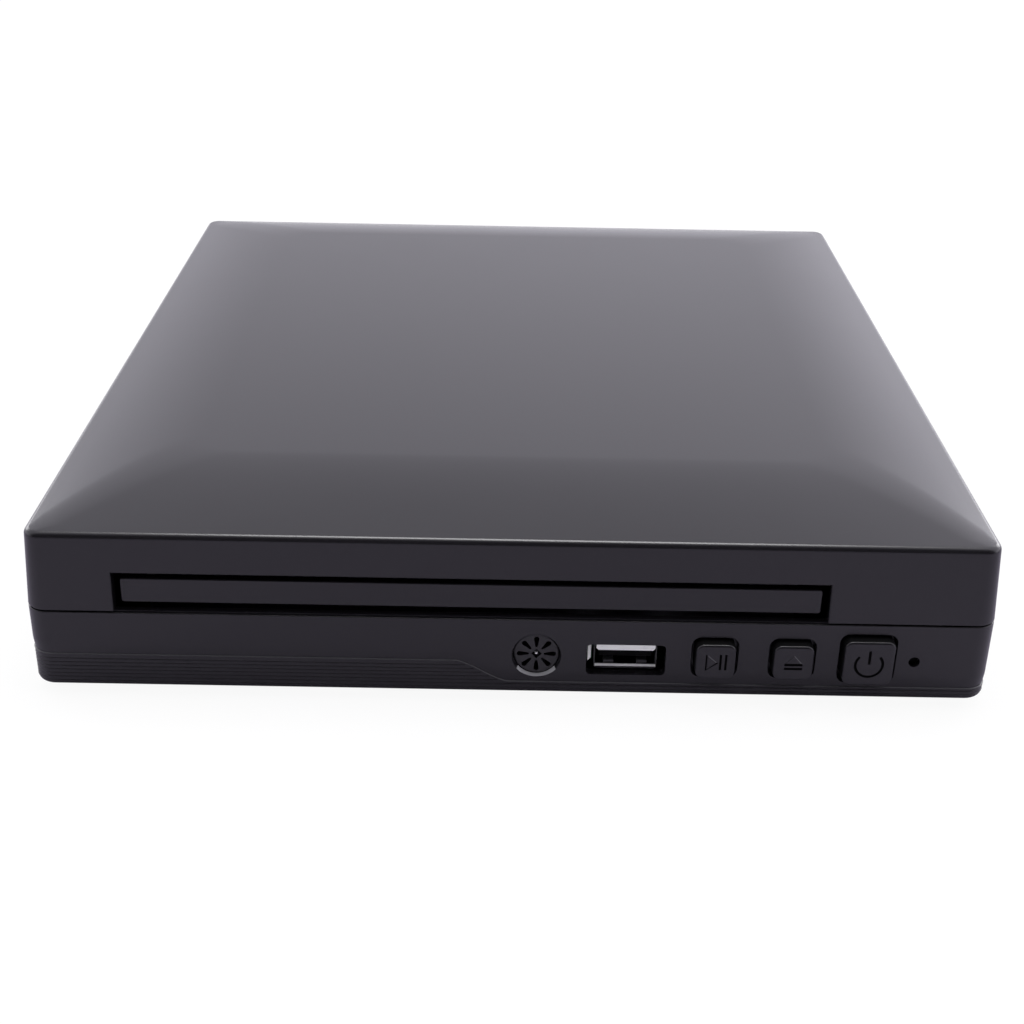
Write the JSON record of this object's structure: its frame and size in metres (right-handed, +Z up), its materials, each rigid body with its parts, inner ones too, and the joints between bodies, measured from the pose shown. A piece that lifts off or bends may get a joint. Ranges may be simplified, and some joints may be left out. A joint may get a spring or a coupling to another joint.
{
  "type": "dvd player with tray",
  "caption": "Compact front-loading disc player: low black case with a crowned cover, sliding disc tray, USB socket, push buttons, rear sockets and full loader inside.",
  "frame": {"origin": "centre of the overall box in plan, on the surface that the feet stand on", "axes": "+Z up, -Y towards the front with the tray door, +X to the right seen from the front"},
  "size_m": [0.198, 0.2276, 0.04],
  "materials": {
    "case_plastic": "semi-gloss moulded black plastic",
    "insert_plastic": "fine satin black plastic",
    "button_plastic": "semi-gloss black plastic",
    "rubber": "soft black rubber",
    "black_screw": "black zinc screws",
    "screw_steel": "zinc-plated screws",
    "clear_lens": "smoked clear lens, unlit",
    "circuit_board": "green solder mask",
    "switch_plastic": "black switch bodies",
    "component_black": "black epoxy packages",
    "socket_metal": "nickel-plated sheet steel",
    "socket_plastic": "black moulded plastic",
    "yellow_plastic": "yellow moulded plastic",
    "white_plastic": "white moulded plastic",
    "red_plastic": "red moulded plastic",
    "plated_sleeve": "bright nickel plate",
    "loader_plastic": "dark grey moulded plastic",
    "tray_plastic": "black moulded plastic",
    "sheet_steel": "galvanised sheet steel",
    "clamper_plastic": "black moulded plastic",
    "motor_steel": "drawn steel can",
    "belt_rubber": "square rubber belt",
    "gear_plastic": "natural white acetal",
    "cam_plastic": "grey acetal",
    "traverse_plastic": "black glass-filled plastic",
    "turntable_plastic": "black plastic with a rubber ring",
    "rod_steel": "ground steel",
    "pickup_metal": "die-cast metal",
    "lens_glass": "coated lens"
  },
  "bodies": {
    "case": {"top_cover": "case_plastic", "bottom_case": "case_plastic", "blanking_insert": "insert_plastic", "rubber_feet": "rubber", "case_screws": "black_screw", "board_screws": "screw_steel", "loader_screws": "screw_steel", "bridge_screws": "screw_steel", "indicator_light": "clear_lens", "front_board": "circuit_board", "main_board": "circuit_board", "button_switches": "switch_plastic", "board_components": "component_black", "usb_shell": "socket_metal", "usb_tongue": "socket_plastic", "hdmi_socket": "socket_metal", "power_inlet": "socket_plastic", "video_jack": "yellow_plastic", "left_audio_jack": "white_plastic", "right_audio_jack": "red_plastic", "jack_sleeves": "plated_sleeve", "loader_chassis": "loader_plastic", "clamper_bridge": "sheet_steel", "loading_motor": "motor_steel", "drive_belt": "belt_rubber"},
    "tray": {"disc_tray": "tray_plastic", "tray_door": "case_plastic"},
    "tray_gear": {"tray_gear": "gear_plastic"},
    "pulley_gear": {"pulley_gear": "gear_plastic"},
    "motor_pulley": {"motor_pulley": "gear_plastic"},
    "cam_slider": {"cam_slider": "cam_plastic"},
    "traverse": {"traverse_frame": "traverse_plastic", "spindle_motor": "motor_steel", "guide_rods": "rod_steel", "sled_motor": "motor_steel"},
    "turntable": {"turntable": "turntable_plastic"},
    "clamper": {"clamper": "clamper_plastic"},
    "pickup": {"pickup_sled": "pickup_metal", "pickup_lens": "lens_glass"},
    "lead_screw": {"lead_screw": "rod_steel"},
    "play_button": {"play_button": "button_plastic"},
    "eject_button": {"eject_button": "button_plastic"},
    "power_button": {"power_button": "button_plastic"}
  },
  "joints": [
    {"name": "tray_slide", "type": "slide", "parent": "case", "child": "tray", "axis": [0, -1, 0], "range_m": [0, 0.12881]},
    {"name": "tray_gear_turn", "type": "hinge", "parent": "case", "child": "tray_gear", "pos_m": [-0.05225, -0.08575, 0.02], "axis": [0, 0, 1], "range_deg": [0, 615.5]},
    {"name": "pulley_gear_turn", "type": "hinge", "parent": "case", "child": "pulley_gear", "pos_m": [-0.03525, -0.08575, 0.02], "axis": [0, 0, 1], "range_deg": [-1476.5, 0]},
    {"name": "motor_pulley_turn", "type": "hinge", "parent": "case", "child": "motor_pulley", "pos_m": [-0.00225, -0.08575, 0.018], "axis": [0, 0, 1], "range_deg": [-4711.57, 0]},
    {"name": "cam_slide", "type": "slide", "parent": "case", "child": "cam_slider", "axis": [1, 0, 0], "range_m": [0, 0.02401]},
    {"name": "traverse_tilt", "type": "hinge", "parent": "case", "child": "traverse", "pos_m": [-0.00825, 0.05325, 0.0167], "axis": [1, 0, 0], "range_deg": [0, 3.86]},
    {"name": "turntable_spin", "type": "hinge", "parent": "traverse", "child": "turntable", "pos_m": [-0.00825, -0.04355, 0.024], "axis": [0, 0, 1], "continuous": true},
    {"name": "clamper_spin", "type": "hinge", "parent": "case", "child": "clamper", "pos_m": [-0.00825, -0.04355, 0.029], "axis": [0, 0, 1], "continuous": true},
    {"name": "pickup_slide", "type": "slide", "parent": "traverse", "child": "pickup", "axis": [0, 1, 0], "range_m": [0, 0.034]},
    {"name": "lead_screw_turn", "type": "hinge", "parent": "traverse", "child": "lead_screw", "pos_m": [0.02275, 0, 0.0167], "axis": [0, 1, 0], "range_deg": [0, 4080.5]},
    {"name": "play_press", "type": "slide", "parent": "case", "child": "play_button", "axis": [0, 1, 0], "range_m": [0, 0.0005], "stiffness_N_per_m": 400},
    {"name": "eject_press", "type": "slide", "parent": "case", "child": "eject_button", "axis": [0, 1, 0], "range_m": [0, 0.0005], "stiffness_N_per_m": 400},
    {"name": "power_press", "type": "slide", "parent": "case", "child": "power_button", "axis": [0, 1, 0], "range_m": [0, 0.0005], "stiffness_N_per_m": 400}
  ],
  "couplings": [
    {"joint": "tray_gear_turn", "follows": "tray_slide", "rad_per_m": 83.333},
    {"joint": "pulley_gear_turn", "follows": "tray_slide", "rad_per_m": -200},
    {"joint": "motor_pulley_turn", "follows": "tray_slide", "rad_per_m": -638.36},
    {"joint": "cam_slide", "follows": "tray_slide", "ratio": 0.18633},
    {"joint": "traverse_tilt", "follows": "tray_slide", "rad_per_m": 0.52132},
    {"joint": "clamper_spin", "follows": "turntable_spin", "ratio": 1},
    {"joint": "lead_screw_turn", "follows": "pickup_slide", "rad_per_m": 2094.4}
  ]
}
